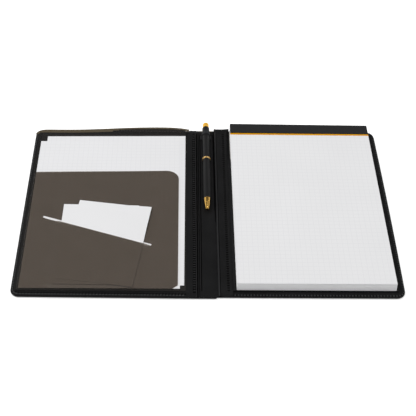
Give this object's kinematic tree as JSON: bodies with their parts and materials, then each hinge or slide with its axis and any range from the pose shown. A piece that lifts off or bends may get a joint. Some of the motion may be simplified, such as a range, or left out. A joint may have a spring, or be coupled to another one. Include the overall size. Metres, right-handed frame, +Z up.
{
  "type": "portfolio case",
  "caption": "A5 portfolio case lying open: folding stiff covers and spine, smoke-film pockets with papers, headed writing pad and click pen in a loop.",
  "frame": {"origin": "middle of the spine's underside, halfway between the two fold lines and halfway up the covers", "axes": "+X to the right across the open case, +Y up the page towards the pad's header, +Z up out of the open case"},
  "size_m": [0.361, 0.2426, 0.0134],
  "materials": {
    "cover_skin": "black leatherette, fine grain, satin",
    "lining": "black smooth lining cloth, matt",
    "board": "grey bookbinding board",
    "smoke_film": "translucent smoke polypropylene film, satin",
    "paper": "white writing paper with a faint 5 mm grid",
    "card": "white note card, matt",
    "backing_card": "grey backing card",
    "header_board": "black coated board, satin",
    "stripe": "bright orange-yellow printed edge, satin",
    "staple": "bright wire",
    "elastic": "black woven elastic",
    "pen_lacquer": "black satin lacquer on brass tube",
    "pen_gold": "polished gold-coloured plating",
    "pen_plastic": "black moulded plastic",
    "refill_steel": "steel refill tube",
    "spring_steel": "spring wire"
  },
  "bodies": {
    "right_cover": {"right_skin": "cover_skin", "right_board": "board", "right_lining": "lining", "pad_pocket_flap": "lining"},
    "spine": {"spine_skin": "cover_skin", "spine_board": "board", "spine_lining": "lining", "pen_loop": "elastic"},
    "left_cover": {"left_skin": "cover_skin", "left_board": "board", "left_lining": "lining", "rear_film_pocket": "smoke_film", "front_film_pocket": "smoke_film"},
    "loose_sheet_back": {"back_sheet": "paper"},
    "loose_sheet_front": {"front_sheet": "paper"},
    "note_card_left": {"left_card": "card"},
    "note_card_right": {"right_card": "card"},
    "writing_pad": {"pad_backing": "backing_card", "pad_pages": "paper", "pad_top_page": "paper", "pad_header": "header_board", "pad_stripe": "stripe", "pad_staples": "staple"},
    "pen": {"pen_nose_cone": "pen_gold", "pen_lower_barrel": "pen_lacquer", "pen_centre_ring": "pen_gold", "pen_upper_barrel": "pen_lacquer"},
    "pen_button": {"pen_plunger": "pen_plastic", "pen_push_cap": "pen_gold"},
    "pen_cartridge": {"pen_refill": "refill_steel", "pen_spring": "spring_steel"}
  },
  "joints": [
    {"name": "spine_fold", "type": "hinge", "parent": "right_cover", "child": "spine", "pos_m": [0.0095, 0, 0.0008], "axis": [0, 1, 0], "range_deg": [0, 90]},
    {"name": "left_fold", "type": "hinge", "parent": "spine", "child": "left_cover", "pos_m": [-0.0095, 0, 0.0008], "axis": [0, 1, 0], "range_deg": [0, 90]},
    {"name": "pad_slide", "type": "slide", "parent": "right_cover", "child": "writing_pad", "axis": [0, 1, 0], "range_m": [0, 0.185]},
    {"name": "back_sheet_slide", "type": "slide", "parent": "left_cover", "child": "loose_sheet_back", "axis": [0, 1, 0], "range_m": [0, 0.165]},
    {"name": "front_sheet_slide", "type": "slide", "parent": "left_cover", "child": "loose_sheet_front", "axis": [0, 1, 0], "range_m": [0, 0.165]},
    {"name": "left_card_slide", "type": "slide", "parent": "left_cover", "child": "note_card_left", "axis": [0.0175, 0.9998, 0], "range_m": [0, 0.085]},
    {"name": "right_card_slide", "type": "slide", "parent": "left_cover", "child": "note_card_right", "axis": [0.1444, 0.9895, 0], "range_m": [0, 0.075]},
    {"name": "pen_slide", "type": "slide", "parent": "spine", "child": "pen", "axis": [0, -1, 0], "range_m": [0, 0.025]},
    {"name": "button_press", "type": "slide", "parent": "pen", "child": "pen_button", "axis": [0, -1, 0], "range_m": [0, 0.004], "stiffness_N_per_m": 600, "springref_m": -0.002},
    {"name": "refill_advance", "type": "slide", "parent": "pen", "child": "pen_cartridge", "axis": [0, -1, 0], "range_m": [0, 0.004], "deforming": ["pen_spring"]}
  ],
  "couplings": [
    {"joint": "refill_advance", "follows": "button_press", "ratio": 1}
  ]
}
